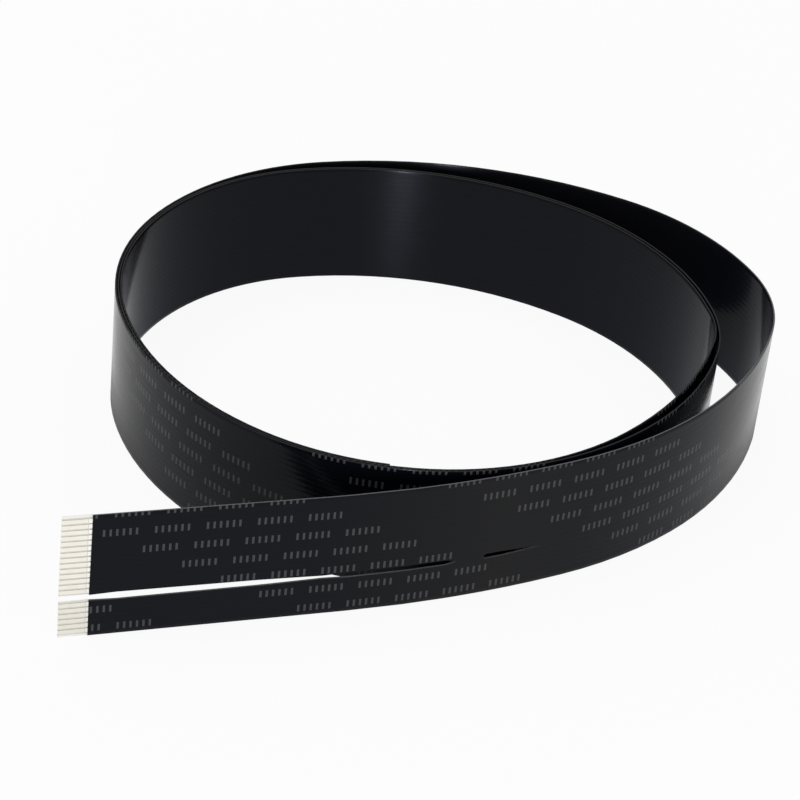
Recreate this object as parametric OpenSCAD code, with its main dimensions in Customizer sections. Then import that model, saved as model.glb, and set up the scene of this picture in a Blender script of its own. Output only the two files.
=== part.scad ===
// Flat ribbon cable, standing on its long edge in loose turns.
// One end is split into a wide and a narrow leg. Millimetres, +Z up.
// The route is walked from the split end, turning left all the way.

/* [Cable] */
// Spacing of the conductors, centre to centre
pitch = 1.0; // [0.95:0.01:1.1]
// Width of one flat conductor
conductor_w = 0.7; // [0.55:0.05:0.75]
// Thickness of one flat conductor
conductor_t = 0.1; // [0.06:0.01:0.14]
// Thickness of the black jacket, both films together
jacket_t = 0.3; // [0.24:0.02:0.36]
// Jacket outside the first and the last conductor
side_margin = 0.65; // [0.35:0.05:0.9]
// Width of the gap cut between the two legs
slit_w = 0.6; // [0.3:0.1:0.9]

/* [Split end] */
// Length of the cut that parts the legs
slit_l = 61; // [54:1:66]
// Uncut jacket between the two cuts
bridge_l = 4.5; // [3:0.5:8]
// Length of the second, closed cut
second_slit_l = 10; // [6:0.5:14]
// Angle by which the wide leg springs up from the narrow one
leg_lift = 0.7; // [0.2:0.1:1.5]
// Straight stretch of the wide leg that is lifted
lifted_l = 40; // [30:1:41]

/* [Bare ends] */
// Length of conductor left bare for the connector
bare_l = 4.5; // [3:0.5:7]
// Thickness of the white stiffening tape
tape_t = 0.2; // [0.12:0.02:0.26]
// Length of tape that runs on under the jacket
tape_grip = 4; // [2:0.5:8]

/* [Coil] */
// Width across the inner turns
coil_w = 102; // [96:1:112]
// Straight lead before the first turn
lead_l = 44; // [42:1:56]
// Air between turns that lie together
turn_gap = 0.1; // [0.06:0.02:0.3]
// How far the last turn runs round the front
last_sweep = 76; // [10:1:85]

/* [Hidden] */
$fn = 360;
WIDE = 14;
NARROW = 6;
COUNT = WIDE + NARROW;

function conductor_name(i) = str("conductor_", i < 10 ? "0" : "", i);

// The slit takes the place of one conductor, and the narrow leg stands on the floor
cable_w = COUNT * pitch + conductor_w + 2 * side_margin;
slit_middle = cable_w - side_margin - conductor_w / 2 - WIDE * pitch;
narrow_w = slit_middle - slit_w / 2;
wide_z = slit_middle + slit_w / 2;
wide_w = cable_w - wide_z;
turn_step = jacket_t + turn_gap;
// Half of the seam between two stretches, and how far its link lies inside the faces
joint = 0.04;
crease = 0.005;
// Where a leg or tape meets the rest of its piece, it runs on this far into it
lap = 0.02;

// A stretch of the route is [radius, degrees, length], with radius 0 where it is straight
function arc(radius, degrees) = [radius, degrees, radius * degrees * PI / 180];
function straight(length) = [0, 0, length];
function arcs(table) = [for (a = table) arc(a[0] * coil_w / 100, a[1])];

// Each row is [radius in hundredths of coil_w, degrees]
OUTER_RIGHT = arcs([[168, 12], [70, 18], [59, 30], [25, 40], [41.5, 40], [76, 40]]);
OUTER_LEFT = arcs([[43.5, 45], [39, 45]]);
FRONT = arcs([[50, 45], [46, 45]]);
INNER_RIGHT = arcs([[52, 30], [49, 30], [26.5, 30]]);
LAST_RIGHT = arcs([[46, 30], [60, 30], [17, 30]]);
INNER_BACK = arcs([[43.5, 45], [60, 45]]);
INNER_LEFT = arcs([[38.5, 45], [38.5, 45]]);

// The same stretches, some turns further in
function inward(stretches, turns) =
    [for (s = stretches) arc(s[0] - turns * turn_step, s[1])];

// A stop on the route is [x, y, heading, distance from the split end]
function offset_of(s, heading) = s[0] > 0
    ? s[0] * [sin(heading + s[1]) - sin(heading), cos(heading) - cos(heading + s[1])]
    : s[2] * [cos(heading), sin(heading)];
function onward(stop, s) = let (d = offset_of(s, stop[2]))
    [stop[0] + d[0], stop[1] + d[1], stop[2] + s[1], stop[3] + s[2]];
function stops(stretches, start) =
    [for (i = 0, stop = start; i <= len(stretches);
        stop = i < len(stretches) ? onward(stop, stretches[i]) : stop, i = i + 1) stop];
function last(list) = list[len(list) - 1];
function net(stretches, heading) =
    let (stop = last(stops(stretches, [0, 0, heading, 0]))) [stop[0], stop[1]];

// One whole turn from the front, closed by two short straights so that it ends
// at the left one turn_step inside the turn before it
function turn(number, right) =
    let (
        side = inward(right, number),
        back = inward(INNER_BACK, number),
        left = inward(INNER_LEFT, number),
        goal = [turn_step, 0] - net(inward(FRONT, number), 270),
        missing = goal - net(side, 0) - net(back, 90) - net(left, 180)
    )
    concat(side, [straight(missing[1])], back, [straight(-missing[0])], left);

function cut_short(pair, degrees) =
    degrees <= pair[0][1]
    ? [arc(pair[0][0], degrees)]
    : [pair[0], arc(pair[1][0], degrees - pair[0][1])];

STRETCHES = concat(
    [straight(lead_l)], OUTER_RIGHT, OUTER_LEFT, FRONT,
    turn(0, INNER_RIGHT), inward(FRONT, 1),
    turn(1, LAST_RIGHT), cut_short(inward(FRONT, 2), last_sweep)
);
STOPS = stops(STRETCHES, [0, 0, 0, 0]);
cable_l = last(STOPS)[3];

// Outermost points of the first turn, for the box round the cable
right_turn = 4;
turn_start = STOPS[right_turn];
right_x = turn_start[0] + STRETCHES[right_turn][0] * (1 - sin(turn_start[2])) + jacket_t / 2;
back_y = STOPS[len(OUTER_RIGHT) + 1][1] + jacket_t / 2;
centre = [right_x / 2, (back_y - jacket_t / 2) / 2];

bare_skin = conductor_t / 2;
skin = jacket_t / 2;

// Height of a conductor's lower edge, counted down from the top edge
function conductor_z(i) =
    cable_w - side_margin - conductor_w - (i <= WIDE ? i - 1 : i) * pitch;

// Part of the ring between two radii, turned counterclockwise from +X
module sector(inner, outer, degrees) {
    reach = 2 * outer;
    intersection() {
        difference() {
            circle(outer);
            circle(inner);
        }
        polygon([[0, 0], [reach, 0], reach * [cos(degrees), sin(degrees)]]);
    }
}

// Plan of a band along the route, between two distances from the split end
// and two offsets outward from the cable's middle. Each stretch stops a hair
// short of the next, and a link just inside the band's faces joins the two.
module plan(from, to, inner, outer) {
    for (i = [0 : len(STRETCHES) - 1]) {
        start = STOPS[i];
        first = max(from, start[3] + joint);
        length = min(to, STOPS[i + 1][3] - joint) - first;
        if (length > 0)
            at(start)
                stretch(STRETCHES[i][0], first - start[3], length, inner, outer);
        if (start[3] > from && start[3] < to)
            at(start)
                translate([inner + crease, -2 * joint])
                    square([outer - inner - 2 * crease, 4 * joint]);
    }
}

// Stands at a stop on the route, with +Y onward and +X outward
module at(stop) {
    translate([stop[0], stop[1]])
        rotate(stop[2] - 90)
            children();
}

module stretch(radius, skipped, length, inner, outer) {
    if (radius > 0)
        translate([-radius, 0])
            rotate(skipped / radius * 180 / PI)
                sector(radius + inner, radius + outer, length / radius * 180 / PI);
    else
        translate([inner, skipped])
            square([outer - inner, length]);
}

// Swings the start of the wide leg up about its lower edge
module lifted() {
    translate([lifted_l, 0, wide_z])
        rotate([0, leg_lift, 0])
            translate([-lifted_l, 0, -wide_z])
                children();
}

module placed() {
    translate([-centre[0], -centre[1], 0])
        children();
}

// A band standing on edge, between two distances from the split end
module band(from, to, inner, outer, z, width) {
    translate([0, 0, z])
        linear_extrude(width)
            plan(from, to, inner, outer);
}

module wire(i, from, to) {
    band(from, to, -bare_skin, bare_skin, conductor_z(i), conductor_w);
}

// The tape backs the bare conductors and steps out over the jacket. It runs
// from the cable's end, past the place where the conductors are bare, to its own end.
module tape(end, bare_to, grip_to, z, width) {
    step = end < bare_to ? -lap : lap;
    band(min(end, bare_to), max(end, bare_to), -bare_skin - tape_t, -bare_skin, z, width);
    band(min(bare_to + step, grip_to), max(bare_to + step, grip_to), -skin - tape_t, -skin, z, width);
}

module slit(from, to) {
    band(from, to, -jacket_t, jacket_t, narrow_w, slit_w);
}

// Pieces

module jacket() {
    color("#17181b")
        placed()
            difference() {
                union() {
                    band(lifted_l, cable_l - bare_l, -skin, skin, 0, cable_w);
                    band(bare_l, lifted_l + lap, -skin, skin, 0, narrow_w);
                    lifted()
                        band(bare_l, lifted_l + lap, -skin, skin, wide_z, wide_w);
                }
                slit(lifted_l - 1, slit_l);
                slit(slit_l + bridge_l, slit_l + bridge_l + second_slit_l);
                for (i = [1 : COUNT])
                    conductor_body(i);
            }
}

// The wide leg's conductors start on the lifted stretch
module conductor_body(i) {
    if (i <= WIDE) {
        lifted()
            wire(i, 0, lifted_l);
        wire(i, lifted_l, cable_l);
    } else {
        wire(i, 0, cable_l);
    }
}

module conductor(i) {
    color("#d8d9d6")
        placed()
            conductor_body(i);
}

module tape_wide() {
    color("#f2f2ec")
        placed()
            lifted()
                tape(0, bare_l, bare_l + tape_grip, wide_z, wide_w);
}

module tape_narrow() {
    color("#f2f2ec")
        placed()
            tape(0, bare_l, bare_l + tape_grip, 0, narrow_w);
}

module tape_far() {
    color("#f2f2ec")
        placed()
            tape(cable_l, cable_l - bare_l, cable_l - bare_l - tape_grip, 0, cable_w);
}

jacket();
tape_wide();
tape_narrow();
tape_far();
for (i = [1 : COUNT]) conductor(i);
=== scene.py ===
import math

import bpy
from mathutils import Matrix, Vector


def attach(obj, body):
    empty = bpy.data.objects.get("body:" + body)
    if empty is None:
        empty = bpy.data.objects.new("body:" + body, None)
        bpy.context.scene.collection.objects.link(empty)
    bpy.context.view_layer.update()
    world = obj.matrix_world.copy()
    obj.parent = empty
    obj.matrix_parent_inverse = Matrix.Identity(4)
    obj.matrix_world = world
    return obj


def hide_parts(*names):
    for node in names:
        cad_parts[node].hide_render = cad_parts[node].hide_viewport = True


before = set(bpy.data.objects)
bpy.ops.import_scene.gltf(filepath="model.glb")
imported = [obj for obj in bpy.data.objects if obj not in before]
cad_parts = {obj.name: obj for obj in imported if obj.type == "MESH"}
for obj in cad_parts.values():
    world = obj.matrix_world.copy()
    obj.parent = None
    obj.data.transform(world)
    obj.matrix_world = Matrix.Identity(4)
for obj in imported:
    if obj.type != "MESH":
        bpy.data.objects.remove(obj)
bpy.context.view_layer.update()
scene = bpy.context.scene
scene.view_settings.view_transform = "Standard"

# The camera of a product photograph: a long lens, a little above the cable,
# looking down on the coil from the side of the split end and rolled slightly.
LENS_MM = 135
SENSOR_MM = 36
EYE = Vector((-0.12518, -0.38610, 0.28736))
LOOK = Vector((0.25589, 0.77950, -0.57176))
RIGHT = Vector((0.96381, -0.25148, 0.08850))
NEAR_CLIP = 0.01
FAR_CLIP = 20

camera_data = bpy.data.cameras.new("camera")
camera_data.lens = LENS_MM
camera_data.sensor_width = SENSOR_MM
camera_data.clip_start = NEAR_CLIP
camera_data.clip_end = FAR_CLIP
camera = bpy.data.objects.new("camera", camera_data)
scene.collection.objects.link(camera)
up = RIGHT.cross(LOOK).normalized()
turned = Matrix((RIGHT.normalized(), up, -LOOK.normalized())).transposed()
camera.matrix_world = Matrix.Translation(EYE) @ turned.to_4x4()
scene.camera = camera

# The jacket is two glossy black polyester films, bonded face to face with the
# conductors between them, 0.3 mm thick and 22 mm wide. The cable stands on its
# long edge in loose turns, and one end is cut lengthwise into two legs.
MM = 0.001
CABLE_W = 22.0
HALF_T = 0.15
BARE_L = 4.5
SLIT_L = 61.0
BRIDGE_L = 4.5
SECOND_SLIT_L = 10.0
SLIT_MIDDLE = 7.0
SLIT_W = 0.6
WIDE_LOW = SLIT_MIDDLE + SLIT_W / 2
NARROW_HIGH = SLIT_MIDDLE - SLIT_W / 2
LIFTED_L = 40.0
LEG_LIFT = math.radians(0.7)
COIL_W = 102
LEAD_L = 44.0
TURN_STEP = 0.4
LAST_SWEEP = 76

# The bends of the route, as (radius in hundredths of the coil's width, degrees)
OUTER_RIGHT = [(168, 12), (70, 18), (59, 30), (25, 40), (41.5, 40), (76, 40)]
OUTER_LEFT = [(43.5, 45), (39, 45)]
FRONT = [(50, 45), (46, 45)]
INNER_RIGHT = [(52, 30), (49, 30), (26.5, 30)]
LAST_RIGHT = [(46, 30), (60, 30), (17, 30)]
INNER_BACK = [(43.5, 45), (60, 45)]
INNER_LEFT = [(38.5, 45), (38.5, 45)]


def arcs(table, turns=0):
    """Stretches of the route as (radius, degrees), so many turns further in."""
    return [(r * COIL_W / 100 - turns * TURN_STEP, a) for r, a in table]


def onward(stop, stretch):
    """The stop (x, y, heading, distance) after a stretch that turns left or runs straight."""
    x, y, heading, far = stop
    radius, amount = stretch
    a = math.radians(heading)
    if radius:
        b = math.radians(heading + amount)
        return (
            x + radius * (math.sin(b) - math.sin(a)),
            y + radius * (math.cos(a) - math.cos(b)),
            heading + amount,
            far + radius * math.radians(amount),
        )
    return (x + amount * math.cos(a), y + amount * math.sin(a), heading, far + amount)


def net(stretches, heading):
    """How far a run of stretches leads in x and y."""
    stop = (0, 0, heading, 0)
    for stretch in stretches:
        stop = onward(stop, stretch)
    return stop[:2]


def whole_turn(number, right_table):
    """One turn from the front, closed by two short straights one step further in."""
    right = arcs(right_table, number)
    back = arcs(INNER_BACK, number)
    left = arcs(INNER_LEFT, number)
    parts = [net(arcs(FRONT, number), 270), net(right, 0), net(back, 90), net(left, 180)]
    missing_x = TURN_STEP - sum(p[0] for p in parts)
    missing_y = -sum(p[1] for p in parts)
    return right + [(0, missing_y)] + back + [(0, -missing_x)] + left


front_end = arcs(FRONT, 2)
STRETCHES = (
    [(0, LEAD_L)]
    + arcs(OUTER_RIGHT)
    + arcs(OUTER_LEFT)
    + arcs(FRONT)
    + whole_turn(0, INNER_RIGHT)
    + arcs(FRONT, 1)
    + whole_turn(1, LAST_RIGHT)
    + [front_end[0], (front_end[1][0], LAST_SWEEP - front_end[0][1])]
)
STOPS = [(0, 0, 0, 0)]
for stretch in STRETCHES:
    STOPS.append(onward(STOPS[-1], stretch))
CABLE_L = STOPS[-1][3]

# The cable's middle lies on the frame's origin: half way to the bend that reaches
# furthest right, and half way to the back of the first turn
RIGHTMOST_BEND = 4
BACK_STOP = 7
right_stop = STOPS[RIGHTMOST_BEND]
right_radius = STRETCHES[RIGHTMOST_BEND][0]
right_x = right_stop[0] + right_radius * (1 - math.sin(math.radians(right_stop[2])))
MIDDLE = ((right_x + HALF_T) / 2, STOPS[BACK_STOP][1] / 2)


def on_route(s):
    """Plan point and heading in radians, at a distance from the split end."""
    for i, stretch in enumerate(STRETCHES):
        if s <= STOPS[i + 1][3] or i == len(STRETCHES) - 1:
            break
    start = STOPS[i]
    done = s - start[3]
    radius = stretch[0]
    part = (radius, math.degrees(done / radius)) if radius else (0, done)
    x, y, heading, _ = onward(start, part)
    return x - MIDDLE[0], y - MIDDLE[1], math.radians(heading)


def standing(s, outward, z):
    """The point, in metres, that far outward from the cable's middle and that high."""
    x, y, a = on_route(s)
    return Vector((x + outward * math.sin(a), y - outward * math.cos(a), z)) * MM


def leg_point(s, outward, z):
    """The same, with the wide leg swung up about its lower edge."""
    if z > SLIT_MIDDLE and s < LIFTED_L:
        back = s - LIFTED_L
        high = z - WIDE_LOW
        s = LIFTED_L + back * math.cos(LEG_LIFT) + high * math.sin(LEG_LIFT)
        z = WIDE_LOW + high * math.cos(LEG_LIFT) - back * math.sin(LEG_LIFT)
        x, y, _ = on_route(0)
        return Vector((x + s, y - outward, z)) * MM
    return standing(s, outward, z)


# A mesh station every few degrees of a bend, or as many millimetres of a straight
STATION_STEP = 3
SHORT_STRETCH = 1
CLOSEST_STATIONS = 0.15


def stations(first, last, extra=()):
    """Distances along the route, close together where it bends tightly."""
    found = {first, last, *extra}
    for i, (radius, amount) in enumerate(STRETCHES):
        a, b = STOPS[i][3], STOPS[i + 1][3]
        steps = math.ceil((amount if radius else b - a) / STATION_STEP)
        if b - a < SHORT_STRETCH:
            steps = 1
        found.update(a + (b - a) * k / steps for k in range(steps + 1))
    inside = sorted(s for s in found if first <= s <= last)
    kept = inside[:1]
    for s in inside[1:]:
        if s - kept[-1] > CLOSEST_STATIONS or s in extra or s == last:
            kept.append(s)
    return kept


# Each flat piece is mapped by its place on the cable laid flat, in units of 100 mm
CABLE_MAP = "along_across"
MAP_MM = 100
OUTER_FACE, INNER_FACE, CUT_FACE = 0, 1, 2
SHARP_ANGLE = math.radians(40)


def sheet_mesh(name, along, rows, solid, point):
    """A closed sheet on edge: point(side, s, row) gives its skins, solid(j, k) its cells."""
    verts, faces, kinds, index, places = [], [], [], {}, []

    def vertex(side, j, k):
        key = (side, j, k)
        if key not in index:
            index[key] = len(verts)
            verts.append(point(side, along[j], k))
            places.append((along[j] / MAP_MM, rows[k] / MAP_MM))
        return index[key]

    def wall(j0, k0, j1, k1):
        ring = [(1, j0, k0), (1, j1, k1), (-1, j1, k1), (-1, j0, k0)]
        faces.append(tuple(vertex(*corner) for corner in ring))
        kinds.append(CUT_FACE)

    last_j, last_k = len(along) - 1, len(rows) - 1
    for j in range(last_j):
        for k in range(last_k):
            if not solid(j, k):
                continue
            corners = [(j, k), (j + 1, k), (j + 1, k + 1), (j, k + 1)]
            faces.append(tuple(vertex(1, *c) for c in corners))
            kinds.append(OUTER_FACE)
            faces.append(tuple(vertex(-1, *c) for c in reversed(corners)))
            kinds.append(INNER_FACE)
            if k == 0 or not solid(j, k - 1):
                wall(j + 1, k, j, k)
            if k == last_k - 1 or not solid(j, k + 1):
                wall(j, k + 1, j + 1, k + 1)
            if j == 0 or not solid(j - 1, k):
                wall(j, k, j, k + 1)
            if j == last_j - 1 or not solid(j + 1, k):
                wall(j + 1, k + 1, j + 1, k)
    mesh = bpy.data.meshes.new(name)
    mesh.from_pydata(verts, [], faces)
    layer = mesh.uv_layers.new(name=CABLE_MAP)
    for loop in mesh.loops:
        layer.data[loop.index].uv = places[loop.vertex_index]
    for polygon, kind in zip(mesh.polygons, kinds):
        polygon.use_smooth = True
        polygon.material_index = kind
    mesh.set_sharp_from_angle(angle=SHARP_ANGLE)
    mesh.validate()
    piece = bpy.data.objects.new(name, mesh)
    scene.collection.objects.link(piece)
    return piece


# Rows up the jacket: flat over each conductor, which lies at a whole millimetre,
# with a shallow valley between each two, and rounded at both long edges
LAST_PLACE = 21
HALF_PITCH = 0.5
PLACE_HALF = SLIT_W / 2
VALLEY = 0.005
EDGE_ROUND = 0.05
EDGE_IN = 0.04
ROW_HEIGHTS = [0, EDGE_ROUND]
ROW_HALVES = [HALF_T - EDGE_IN, HALF_T]
for place in range(1, LAST_PLACE + 1):
    ROW_HEIGHTS += [place - PLACE_HALF, place + PLACE_HALF]
    ROW_HALVES += [HALF_T, HALF_T]
    if place < LAST_PLACE:
        ROW_HEIGHTS.append(place + HALF_PITCH)
        ROW_HALVES.append(HALF_T - VALLEY)
ROW_HEIGHTS += [CABLE_W - EDGE_ROUND, CABLE_W]
ROW_HALVES += [HALF_T, HALF_T - EDGE_IN]

# The cuts spring open. The legs stand apart most, the first cut narrows to a point
# at its end, and the second is blunt at its near end and runs out at the other.
SLIT_LOW = ROW_HEIGHTS.index(NARROW_HIGH)
SLIT_HIGH = SLIT_LOW + 1
SECOND_FROM = SLIT_L + BRIDGE_L
SECOND_TO = SECOND_FROM + SECOND_SLIT_L
LEGS_OPEN = 0.25
LEGS_OPEN_OVER = 5
LEGS_CLOSE_OVER = 12
CUT_OPEN = 0.15
CUT_OPENS_OVER = 4
FIRST_END_L = 1.5
FIRST_END_CLOSE = 0.35
SECOND_START_L = 0.6
SECOND_END_L = 7
SECOND_CLOSE = 0.4
SLIT_STATIONS = (
    BARE_L, 6, 8, 11, 14,
    LIFTED_L - LEGS_CLOSE_OVER, 32, 36, LIFTED_L, LIFTED_L + CUT_OPENS_OVER,
    SLIT_L - FIRST_END_L, 60.3, SLIT_L,
    SECOND_FROM, SECOND_FROM + SECOND_START_L,
    SECOND_TO - SECOND_END_L, 71, 73.5, 74.7, SECOND_TO,
)


def slit_edge(s):
    """How much wider the cut stands open on each side than its knife left it."""
    if s < LIFTED_L:
        opened = (s - BARE_L) / LEGS_OPEN_OVER
        closing = (LIFTED_L - s) / LEGS_CLOSE_OVER
        return LEGS_OPEN * min(1, max(0, opened), max(0, closing))
    if s <= SLIT_L:
        opened = min(1, (s - LIFTED_L) / CUT_OPENS_OVER)
        closing = max(0, 1 - (SLIT_L - s) / FIRST_END_L)
        return CUT_OPEN * opened - FIRST_END_CLOSE * closing
    if SECOND_FROM <= s <= SECOND_TO:
        blunt = 1 - (s - SECOND_FROM) / SECOND_START_L
        runout = 1 - (SECOND_TO - s) / SECOND_END_L
        return CUT_OPEN - SECOND_CLOSE * max(0, blunt, runout)
    return 0


def jacket_point(side, s, k):
    z = ROW_HEIGHTS[k]
    if k == SLIT_LOW:
        z -= slit_edge(s)
    if k == SLIT_HIGH:
        z += slit_edge(s)
    return leg_point(s, side * ROW_HALVES[k], z)


jacket_along = stations(BARE_L, CABLE_L - BARE_L, SLIT_STATIONS)


def jacket_solid(j, k):
    """Film everywhere but in the two cuts."""
    if k != SLIT_LOW:
        return True
    middle = (jacket_along[j] + jacket_along[j + 1]) / 2
    return not (middle < SLIT_L or SECOND_FROM < middle < SECOND_TO)


def shader(name):
    """A new material's node tree and its one Principled shader."""
    material = bpy.data.materials.new(name)
    material.use_nodes = True
    return material, material.node_tree, material.node_tree.nodes["Principled BSDF"]


def set_sockets(node, values):
    for socket, value in values.items():
        node.inputs[socket].default_value = value


def maths(tree, operation, a, b=None, c=None):
    """One Math node whose inputs are numbers or other nodes' outputs."""
    node = tree.nodes.new("ShaderNodeMath")
    node.operation = operation
    for socket, value in zip(node.inputs, (a, b, c)):
        if value is None:
            continue
        if isinstance(value, (int, float)):
            socket.default_value = value
        else:
            tree.links.new(value, socket)
    return node.outputs[0]


def falling(tree, away, reach):
    """1 at the place itself, falling evenly to 0 where it is the reach away."""
    part = maths(tree, "DIVIDE", away, reach)
    return maths(tree, "MAXIMUM", maths(tree, "SUBTRACT", 1, part), 0)


def distance(tree, value, place):
    """How far a value lies from a place, to either side."""
    return maths(tree, "ABSOLUTE", maths(tree, "SUBTRACT", value, place))


def blended(tree, factor, low, high):
    """A colour between two, by a factor that another node gives."""
    node = tree.nodes.new("ShaderNodeMix")
    node.data_type = "RGBA"
    tree.links.new(factor, node.inputs["Factor"])
    for socket, value in ((node.inputs[6], low), (node.inputs[7], high)):
        if isinstance(value, tuple):
            socket.default_value = value
        else:
            tree.links.new(value, socket)
    return node.outputs[2]


def cloudy(tree, place, stretch, scale, detail=2.0):
    """Soft patches, drawn out by the stretch."""
    drawn_out = tree.nodes.new("ShaderNodeMapping")
    drawn_out.inputs["Scale"].default_value = stretch
    tree.links.new(place, drawn_out.inputs["Vector"])
    node = tree.nodes.new("ShaderNodeTexNoise")
    set_sockets(node, {"Scale": scale, "Detail": detail})
    tree.links.new(drawn_out.outputs[0], node.inputs["Vector"])
    return node.outputs[0]


def split_axes(tree, vector):
    node = tree.nodes.new("ShaderNodeSeparateXYZ")
    tree.links.new(vector, node.inputs[0])
    return node.outputs


def on_cable(tree):
    """The place on the map, and the millimetres along the cable and up from its lower edge."""
    place = tree.nodes.new("ShaderNodeUVMap")
    place.uv_map = CABLE_MAP
    axes = split_axes(tree, place.outputs[0])
    along = maths(tree, "MULTIPLY", axes[0], MAP_MM)
    high = maths(tree, "MULTIPLY", axes[1], MAP_MM)
    return place.outputs[0], along, high


def from_gap(tree, high):
    """How far, in millimetres, a height lies from the middle between two conductors."""
    return distance(tree, maths(tree, "FRACT", high), HALF_PITCH)


CLOUD_DULLER = 0.08


def film(name, dark, light, dullness):
    """Black film of a faintly cloudy tone: its shader, with its tone and roughness so far."""
    material, tree, gloss = shader(name)
    place, along, high = on_cable(tree)
    tone = blended(tree, cloudy(tree, place, stretch=(3, 40, 1), scale=6), dark, light)
    patches = cloudy(tree, place, stretch=(8, 30, 1), scale=9, detail=3)
    rough = maths(tree, "MULTIPLY_ADD", patches, CLOUD_DULLER, dullness)
    return material, tree, gloss, (place, along, high), tone, rough


# Both films show a faint ripple, and a fine groove between each two conductors
GROOVE_HALF = 0.12
RIPPLE = {"Strength": 0.12, "Distance": 0.0002}


def film_relief(tree, gloss, where, groove_depth):
    place, _, high = where
    ripple = tree.nodes.new("ShaderNodeBump")
    set_sockets(ripple, RIPPLE)
    waves = cloudy(tree, place, stretch=(2.0, 6.0, 1), scale=8, detail=3)
    tree.links.new(waves, ripple.inputs["Height"])
    groove = tree.nodes.new("ShaderNodeBump")
    groove.invert = True
    set_sockets(groove, {"Strength": 1.0, "Distance": groove_depth * MM})
    deep = falling(tree, from_gap(tree, high), GROOVE_HALF)
    tree.links.new(maths(tree, "POWER", deep, 2), groove.inputs["Height"])
    tree.links.new(ripple.outputs[0], groove.inputs["Normal"])
    tree.links.new(groove.outputs[0], gloss.inputs["Normal"])


# The outer film carries faint plain ticks, in groups of six. The rows of groups
# step along as they go down, so that they slant. The film is dusty low down, and
# hazy round the second cut, where it is handled.
TICK_W = 0.36
TICK_TALL = 1.24
TICK_PITCH = 0.97
GROUP_L = 5.2
GROUP_PITCH = 7.7
PRINTED_L = 36
PRINT_REPEAT = 58.4
ROW_MIDDLE = 1.7
ROW_PITCH = 3.43
ROW_STEP = 6.07
INK = (0.055, 0.056, 0.059, 1)
INK_DULLER = 0.12
DUST_TO = 10
DUST_DULLER = 0.24
HAZE_AT = 68
HAZE_REACH = 30
HAZE = (0.0085, 0.0085, 0.0088, 1)
PRINTED_DARK = (0.0022, 0.0026, 0.0046, 1)
PRINTED_LIGHT = (0.0034, 0.0038, 0.0062, 1)
PRINTED_DULLNESS = 0.11
PRINTED_GLOSS = {"IOR": 1.2, "Specular Tint": (0.9, 0.93, 1, 1)}
PRINTED_GROOVE = 0.0036


def plain_ticks(tree, along, high):
    """1 on the ticks and 0 between them."""
    down = maths(tree, "SUBTRACT", CABLE_W + ROW_MIDDLE, high)
    row = maths(tree, "FLOOR", maths(tree, "DIVIDE", down, ROW_PITCH))
    across = maths(tree, "SUBTRACT", down, maths(tree, "MULTIPLY", row, ROW_PITCH))
    start = maths(tree, "ADD", along, PRINT_REPEAT)
    stepped = maths(tree, "SUBTRACT", start, maths(tree, "MULTIPLY", row, ROW_STEP))
    run = maths(tree, "MODULO", stepped, PRINT_REPEAT)
    group = maths(tree, "MODULO", run, GROUP_PITCH)
    tick = maths(tree, "MODULO", group, TICK_PITCH)
    off_row = distance(tree, across, ROW_MIDDLE)
    ink = maths(tree, "LESS_THAN", run, PRINTED_L)
    for value, limit in ((group, GROUP_L), (tick, TICK_W), (off_row, TICK_TALL / 2)):
        ink = maths(tree, "MULTIPLY", ink, maths(tree, "LESS_THAN", value, limit))
    return ink


def printed_film():
    material, tree, gloss, where, tone, rough = film(
        "film_printed", PRINTED_DARK, PRINTED_LIGHT, PRINTED_DULLNESS)
    _, along, high = where
    dust = falling(tree, high, DUST_TO)
    rough = maths(tree, "MULTIPLY_ADD", dust, DUST_DULLER, rough)
    handled = falling(tree, distance(tree, along, HAZE_AT), HAZE_REACH)
    tone = blended(tree, handled, tone, HAZE)
    ink = plain_ticks(tree, along, high)
    tone = blended(tree, ink, tone, INK)
    rough = maths(tree, "MULTIPLY_ADD", ink, INK_DULLER, rough)
    tree.links.new(tone, gloss.inputs["Base Color"])
    tree.links.new(rough, gloss.inputs["Roughness"])
    set_sockets(gloss, PRINTED_GLOSS)
    film_relief(tree, gloss, where, PRINTED_GROOVE)
    return material


# The inner film has a dark brushed layer under clear gloss: its fine ridges run
# along the cable and spread the light up and down, into the bright upright streak.
PLAIN_DARK = (0.0080, 0.0085, 0.0112, 1)
PLAIN_LIGHT = (0.0102, 0.0107, 0.0138, 1)
PLAIN_DULLNESS = 0.32
PLAIN_GLOSS = {
    "IOR": 1.2,
    "Metallic": 1,
    "Specular Tint": (0.45, 0.46, 0.5, 1),
    "Anisotropic": 1.0,
    "Anisotropic Rotation": 0.25,
    "Coat Weight": 1.0,
    "Coat Roughness": 0.12,
    "Coat IOR": 1.125,
}
PLAIN_GROOVE = 0.0072


def plain_film():
    material, tree, gloss, where, tone, rough = film(
        "film_plain", PLAIN_DARK, PLAIN_LIGHT, PLAIN_DULLNESS)
    tree.links.new(tone, gloss.inputs["Base Color"])
    tree.links.new(rough, gloss.inputs["Roughness"])
    set_sockets(gloss, PLAIN_GLOSS)
    ridges = tree.nodes.new("ShaderNodeTangent")
    ridges.direction_type = "UV_MAP"
    ridges.uv_map = CABLE_MAP
    tree.links.new(ridges.outputs[0], gloss.inputs["Tangent"])
    film_relief(tree, gloss, where, PLAIN_GROOVE)
    return material


# The knife-cut edge is a little greyer and duller than the film's face. From the
# split end up to the bend at the right it has a painted highlight: lighter greys.
LIT_EDGE_TO = 180
LIT_EDGE_FADE = 40
EDGE_GREYS = ((0.005, 0.005, 0.006, 1), (0.024, 0.024, 0.025, 1))
LIT_EDGE_GREYS = ((0.06, 0.06, 0.065, 1), (0.16, 0.16, 0.17, 1))
EDGE_GLOSS = {"Roughness": 0.35, "IOR": 1.15}


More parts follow.
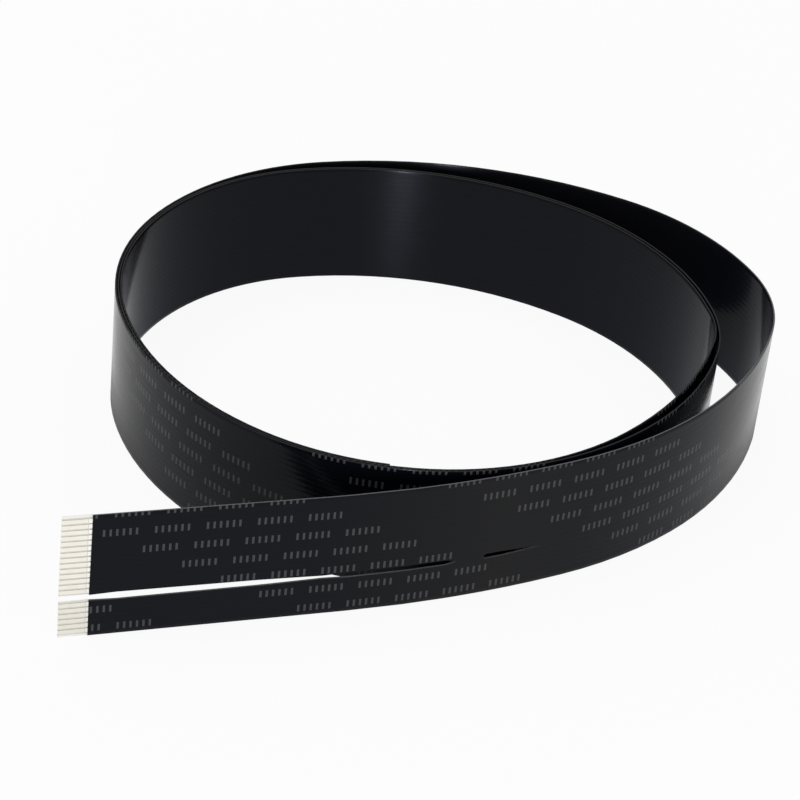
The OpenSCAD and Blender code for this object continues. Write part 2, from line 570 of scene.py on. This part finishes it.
def cut_edge():
    material, tree, gloss = shader("film_cut_edge")
    place, along, _ = on_cable(tree)
    grain = cloudy(tree, place, stretch=(60, 60, 1), scale=12, detail=3)
    # Painted highlight on the edge, from the split end up to the bend at the right
    to_coil = maths(tree, "DIVIDE", maths(tree, "SUBTRACT", LIT_EDGE_TO, along), LIT_EDGE_FADE)
    marked_stretch = maths(tree, "MINIMUM", maths(tree, "MAXIMUM", to_coil, 0), 1)
    dark = blended(tree, grain, *EDGE_GREYS)
    light = blended(tree, grain, *LIT_EDGE_GREYS)
    tree.links.new(blended(tree, marked_stretch, dark, light), gloss.inputs["Base Color"])
    set_sockets(gloss, EDGE_GLOSS)
    return material


jacket = sheet_mesh("cable_jacket", jacket_along, ROW_HEIGHTS, jacket_solid, jacket_point)
for finish in (printed_film(), plain_film(), cut_edge()):
    jacket.data.materials.append(finish)
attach(jacket, "root")
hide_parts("jacket")

# Twenty flat copper conductors, tinned, 0.7 mm wide. They run sealed in the
# jacket and lie bare for the last 4.5 mm at both ends, where they are the
# contacts. A darker line crosses them close to the film, with lighter tin between.
LINE_FROM_FILM = 0.42
LINE_HALF = 0.05
TIN_DARK = (0.88, 0.85, 0.77, 1)
TIN_LIGHT = (0.97, 0.95, 0.87, 1)
TIN_BY_FILM = (0.97, 0.96, 0.93, 1)
TIN_LINE = (0.7, 0.69, 0.64, 1)
# Painted shade on the conductors' faces that look up, so the shade between them reads wider
TIN_SIDE_SHADE = (0.6, 0.58, 0.52, 1)
TIN_DULLNESS = 0.28
DRAWN_DULLER = 0.25
UPWARD = 0.5
LOWEST_TONE = 0.85
TONE_PER_METRE = 14
BLACK = (0, 0, 0, 1)


def tinned_copper():
    """Drawn tin with a darker line across it, lighter next to the film, painted shade on faces
    that look up, and darker towards the bottom.
    """
    material, tree, tin = shader("tinned_copper")
    place = tree.nodes.new("ShaderNodeTexCoord").outputs["Object"]
    drawn = cloudy(tree, place, stretch=(300, 300, 9000), scale=1, detail=3)
    patches = cloudy(tree, place, stretch=(900, 900, 900), scale=1)
    x, _, z = split_axes(tree, place)
    to_film = maths(tree, "SUBTRACT", (BARE_L - MIDDLE[0]) * MM, x)
    # A darker line across the contacts, and lighter tin between it and the film
    marked_stretch = maths(tree, "LESS_THAN", distance(tree, to_film, LINE_FROM_FILM * MM), LINE_HALF * MM)
    by_film = maths(tree, "LESS_THAN", to_film, (LINE_FROM_FILM - LINE_HALF) * MM)
    facing = split_axes(tree, tree.nodes.new("ShaderNodeNewGeometry").outputs["Normal"])
    # Painted shade on the faces that look up
    shaded_side = maths(tree, "GREATER_THAN", facing[2], UPWARD)
    # Darker towards the bottom
    height_tone = maths(tree, "MINIMUM", maths(tree, "MULTIPLY_ADD", z, TONE_PER_METRE, LOWEST_TONE), 1)
    tone = blended(tree, patches, TIN_DARK, TIN_LIGHT)
    tone = blended(tree, by_film, tone, TIN_BY_FILM)
    tone = blended(tree, marked_stretch, tone, TIN_LINE)
    tone = blended(tree, shaded_side, tone, TIN_SIDE_SHADE)
    tone = blended(tree, height_tone, BLACK, tone)
    tree.links.new(tone, tin.inputs["Base Color"])
    rough = maths(tree, "MULTIPLY_ADD", drawn, DRAWN_DULLER, TIN_DULLNESS)
    tree.links.new(rough, tin.inputs["Roughness"])
    tin.inputs["Metallic"].default_value = 1
    return material


contact_finish = tinned_copper()
for name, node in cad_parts.items():
    if name.startswith("conductor_"):
        node.data.materials.clear()
        node.data.materials.append(contact_finish)
        for polygon in node.data.polygons:
            polygon.material_index = 0

# White polyester stiffening tape backs the bare contacts, so that they can be
# pushed into a connector. It is bonded on and runs 4 mm up over the jacket,
# where it is trimmed a little inside the jacket's edges.
TAPE_T = 0.2
BARE_HALF = 0.05
TAPE_GRIP = 4.0
TAPE_TRIM = 0.35
END_ROUND = 0.05
STEP_FROM = 0.1
STEP_TO = 0.15
THIN_END_L = 0.3
THIN_END = 0.08
CONTACT_HALF = 0.35
ROW_CLEAR = 0.1
# Half-width of the painted shade on the tape between two contacts
GAP_SHADE_HALF = 0.16
TAPE_DARK = (0.80, 0.79, 0.76, 1)
TAPE_LIGHT = (0.88, 0.87, 0.84, 1)
# Colour of the painted shade between two contacts
TAPE_GAP_SHADE = (0.66, 0.63, 0.56, 1)
TAPE_DULLNESS = 0.4
FLECK_DULLER = 0.2


def tape_finish(name, gap_shaded):
    """White tape, with painted shade between each two contacts."""
    material, tree, tape = shader(name)
    place, _, high = on_cable(tree)
    fleck = cloudy(tree, place, stretch=(150, 150, 1), scale=1, detail=3)
    tone = blended(tree, fleck, TAPE_DARK, TAPE_LIGHT)
    if gap_shaded:
        # Painted shade between two contacts
        gap = maths(tree, "LESS_THAN", from_gap(tree, high), GAP_SHADE_HALF)
        tone = blended(tree, gap, tone, TAPE_GAP_SHADE)
    tree.links.new(tone, tape.inputs["Base Color"])
    rough = maths(tree, "MULTIPLY_ADD", fleck, FLECK_DULLER, TAPE_DULLNESS)
    tree.links.new(rough, tape.inputs["Roughness"])
    return material


tape_front = tape_finish("tape_front", True)
tape_back = tape_finish("tape_back", False)


def tape_piece(name, node, end, bare_to, grip_to, low, high, bare_trim=0):
    """A strip of tape with eased edges, stepping out where it meets the jacket."""
    inward = 1 if grip_to > end else -1
    along = sorted([
        end,
        end + END_ROUND * inward,
        bare_to - STEP_FROM * inward,
        bare_to + STEP_TO * inward,
        grip_to - THIN_END_L * inward,
        grip_to,
    ])
    rows = [low, low + END_ROUND]
    rows += [z + d for z in range(math.ceil(low), math.floor(high) + 1)
             for d in (-CONTACT_HALF, CONTACT_HALF, HALF_PITCH)
             if low + ROW_CLEAR < z + d < high - ROW_CLEAR]
    rows += [high - END_ROUND, high]

    def point(side, s, k):
        on_jacket = (s - bare_to) * inward > 0
        inner = HALF_T if on_jacket else BARE_HALF
        outer = inner + TAPE_T
        if k in (0, len(rows) - 1) or s == end:
            outer -= EDGE_IN
        if s == grip_to:
            outer -= THIN_END
        trim = TAPE_TRIM if on_jacket else bare_trim
        middle = (low + high) / 2
        z = middle + (rows[k] - middle) * (1 - 2 * trim / (high - low))
        return leg_point(s, -(inner if side > 0 else outer), z)

    piece = sheet_mesh(name, along, rows, lambda j, k: True, point)
    for finish in (tape_front, tape_back):
        piece.data.materials.append(finish)
    for polygon in piece.data.polygons:
        polygon.material_index = min(polygon.material_index, INNER_FACE)
    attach(piece, "root")
    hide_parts(node)


tape_piece("wide_end_tape", "tape_wide", 0, BARE_L, BARE_L + TAPE_GRIP, WIDE_LOW, CABLE_W)
tape_piece("narrow_end_tape", "tape_narrow", 0, BARE_L, BARE_L + TAPE_GRIP, 0, NARROW_HIGH)
tape_piece("far_end_tape", "tape_far", CABLE_L, CABLE_L - BARE_L,
           CABLE_L - BARE_L - TAPE_GRIP, 0, CABLE_W, TAPE_TRIM)

# A white table top under the cable and even daylight from all round, with a
# broad lamp above and a narrow one beside the camera, as in a small studio.
WHITE = (1, 1, 1, 1)
DAYLIGHT = 0.65
TABLE_HALF = 3.0
TABLE_BELOW = 0.00002
TABLE_WHITE = {"Base Color": (0.86, 0.86, 0.86, 1), "Roughness": 0.9, "Specular IOR Level": 0}
TABLE_GLOW = 0.92


def seen(tree):
    """1 for what the camera sees, straight or through gloss or glass."""
    path = tree.nodes.new("ShaderNodeLightPath").outputs
    either = maths(tree, "MAXIMUM", path["Is Camera Ray"], path["Is Glossy Ray"])
    return maths(tree, "MAXIMUM", either, path["Is Transmission Ray"])


def mixed(tree, factor, low, high):
    """Two shaders in one, by a factor that another node gives."""
    node = tree.nodes.new("ShaderNodeMixShader")
    tree.links.new(factor, node.inputs[0])
    tree.links.new(low, node.inputs[1])
    tree.links.new(high, node.inputs[2])
    return node.outputs[0]


world = bpy.data.worlds.new("daylight")
scene.world = world
world.use_nodes = True
sky = world.node_tree
ambient = sky.nodes["Background"]
set_sockets(ambient, {"Color": WHITE, "Strength": DAYLIGHT})
backdrop = sky.nodes.new("ShaderNodeBackground")
set_sockets(backdrop, {"Color": WHITE, "Strength": 1.0})
sky.links.new(mixed(sky, seen(sky), ambient.outputs[0], backdrop.outputs[0]),
              sky.nodes["World Output"].inputs[0])

table_mesh = bpy.data.meshes.new("table_top")
table_corners = [(-1, -1), (1, -1), (1, 1), (-1, 1)]
table_mesh.from_pydata([(x * TABLE_HALF, y * TABLE_HALF, 0) for x, y in table_corners],
                       [], [(0, 1, 2, 3)])
table_top = bpy.data.objects.new("table_top", table_mesh)
table_top.location.z = -TABLE_BELOW
scene.collection.objects.link(table_top)
table_finish, table_tree, table_paint = shader("table_white")
set_sockets(table_paint, TABLE_WHITE)
glow = table_tree.nodes.new("ShaderNodeEmission")
glow.inputs["Strength"].default_value = 1.0
share = maths(table_tree, "MULTIPLY", seen(table_tree), TABLE_GLOW)
table_tree.links.new(mixed(table_tree, share, table_paint.outputs[0], glow.outputs[0]),
                     table_tree.nodes["Material Output"].inputs[0])
table_mesh.materials.append(table_finish)


def lamp(name, place, aim, size, power):
    light = bpy.data.lights.new(name, "AREA")
    light.shape = "RECTANGLE"
    light.size, light.size_y = size
    light.energy = power
    holder = bpy.data.objects.new(name, light)
    holder.location = place
    holder.rotation_euler = (Vector(aim) - Vector(place)).to_track_quat("-Z", "Y").to_euler()
    scene.collection.objects.link(holder)


lamp("broad_lamp", place=(-0.3, 0.2, 0.9), aim=(0, 0, 0), size=(0.7, 0.7), power=2)
lamp("streak_lamp", place=(-0.206, -0.83, 0.19), aim=(0.012, 0.042, 0.01),
     size=(0.06, 0.3), power=2.5)
